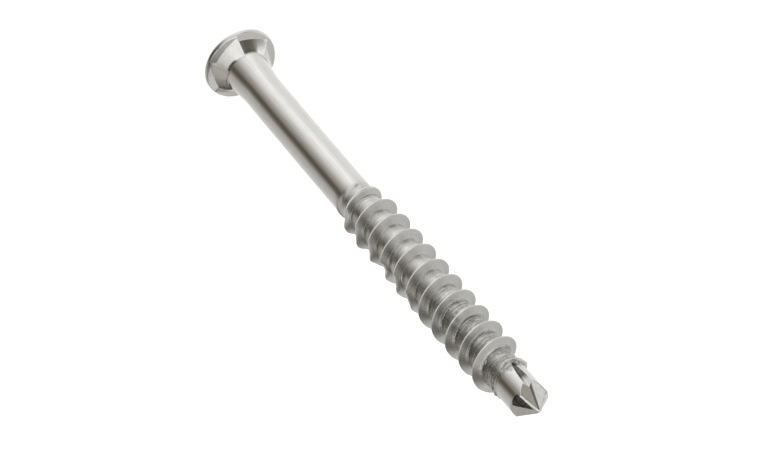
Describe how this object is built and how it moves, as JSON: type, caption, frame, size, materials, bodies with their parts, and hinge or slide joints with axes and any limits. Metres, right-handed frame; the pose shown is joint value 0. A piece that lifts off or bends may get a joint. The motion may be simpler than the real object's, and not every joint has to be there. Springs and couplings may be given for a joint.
{
  "type": "self-drilling countersunk wood screw",
  "caption": "Self-drilling wood screw with a countersunk milling head, plain shank, coarse right-hand thread and fluted drill point.",
  "frame": {"origin": "centre of the flat head face", "axes": "+Z runs along the screw from the head face to the drill point; the first flute opens between -X and -Y"},
  "size_m": [0.0078, 0.0078, 0.06],
  "materials": {
    "stainless_body": "bright rolled stainless steel, smooth on the shank and finely scored in the thread roots",
    "hardened_tip": "plated hardened steel, blotchy and pitted in the thread roots, bright on the flutes"
  },
  "bodies": {
    "root": {"screw_body": "stainless_body", "drill_tip": "hardened_tip"}
  },
  "joints": []
}
